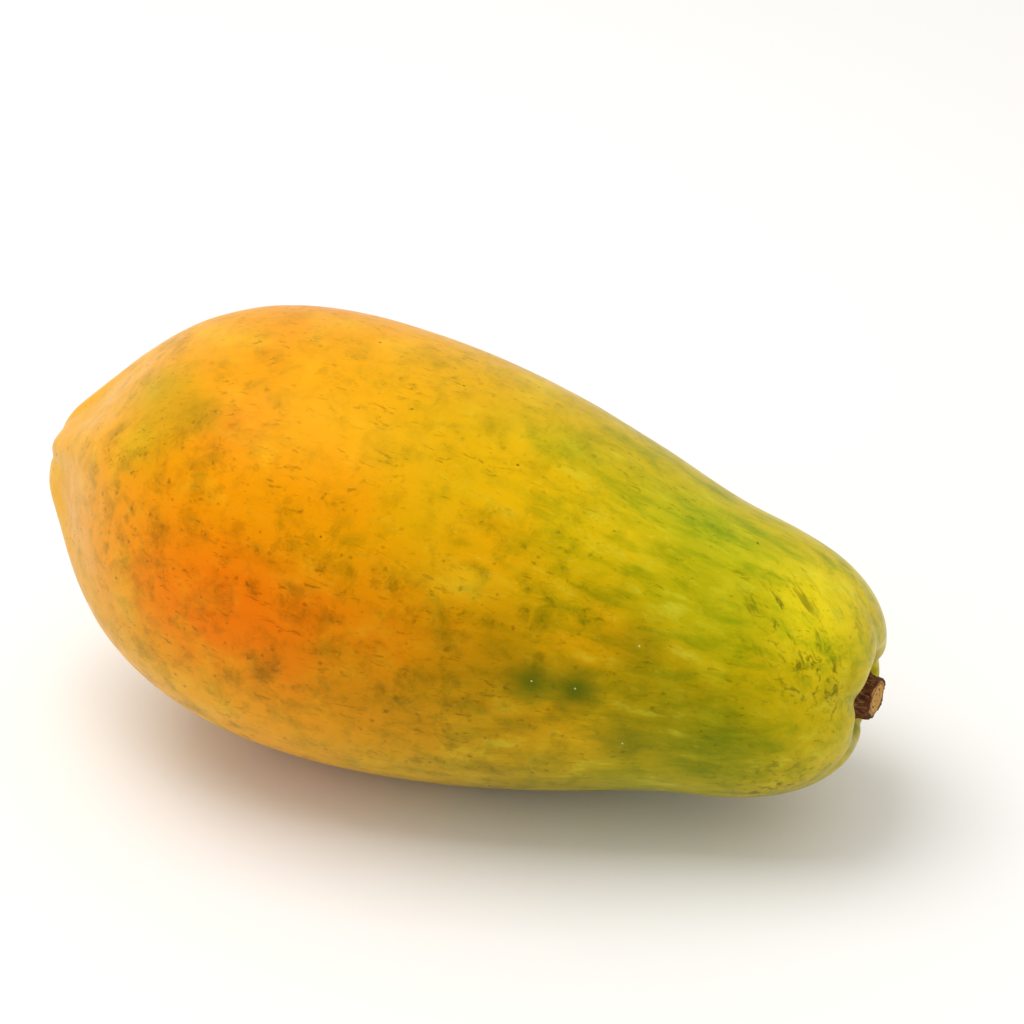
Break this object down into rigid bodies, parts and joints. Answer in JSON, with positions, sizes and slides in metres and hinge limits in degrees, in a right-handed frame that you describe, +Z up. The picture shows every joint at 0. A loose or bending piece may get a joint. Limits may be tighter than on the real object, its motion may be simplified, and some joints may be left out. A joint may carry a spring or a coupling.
{
  "type": "papaya",
  "caption": "Ripe whole papaya lying on its side: a fat orange blossom end with a blunt nose, a narrower green neck, and the dried stub of its stalk in the puckered stem pit.",
  "frame": {"origin": "on the surface that the papaya lies on, under the middle of its box seen from above", "axes": "+X towards the stem end along the fruit's length, +Z up, -Y the side seen in front"},
  "size_m": [0.2404, 0.1228, 0.123],
  "materials": {
    "papaya_skin": "satin",
    "dried_stalk": "matte"
  },
  "bodies": {
    "root": {"fruit": "papaya_skin", "stem_stub": "dried_stalk"}
  },
  "joints": []
}
